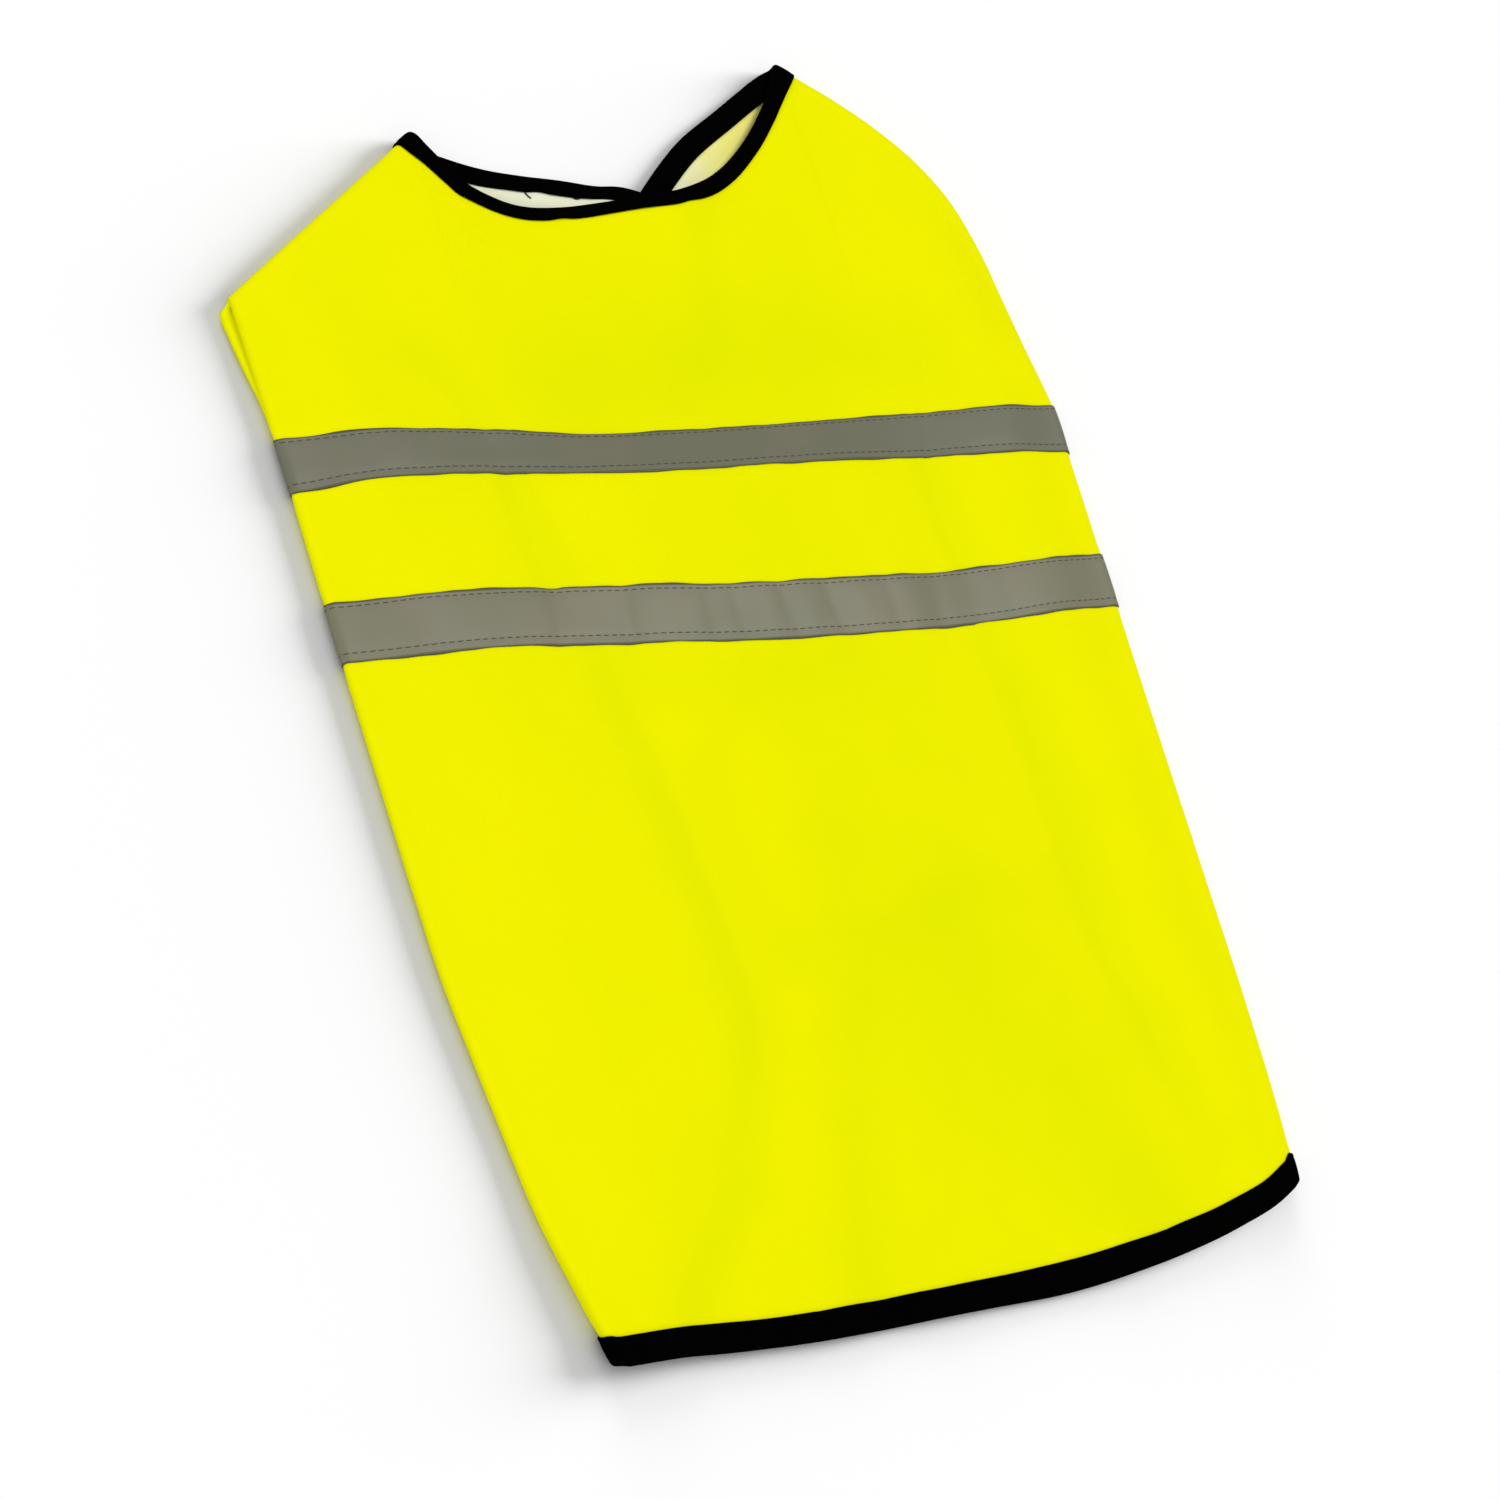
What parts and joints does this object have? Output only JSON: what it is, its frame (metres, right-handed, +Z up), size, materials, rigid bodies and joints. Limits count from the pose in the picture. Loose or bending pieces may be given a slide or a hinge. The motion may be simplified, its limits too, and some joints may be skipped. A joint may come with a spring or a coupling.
{
  "type": "reflective dog jacket",
  "caption": "Dog jacket of bright yellow cloth with black edge binding and grey reflective tapes, lying flat on its belly with the neck and chest straps crossed.",
  "frame": {"origin": "bottom centre of the bounding box, on the surface that the jacket lies on", "axes": "+Y along the back towards the neck, +X across the back to the wearer's right side, +Z up from the surface"},
  "size_m": [0.3638, 0.5448, 0.0138],
  "materials": {
    "cloth": "matte fluorescent yellow woven polyester",
    "binding": "matte black folded tape",
    "tape": "warm grey retroreflective fabric tape",
    "fastener": "black hook and loop"
  },
  "bodies": {
    "root": {"body": "cloth", "chest_left": "cloth", "chest_right": "cloth", "neck_binding": "binding", "hem_binding": "binding", "tape_front": "tape", "tape_rear": "tape", "chest_loop": "fastener", "chest_hook": "fastener", "belly_loop": "fastener", "belly_hook": "fastener"}
  },
  "joints": []
}
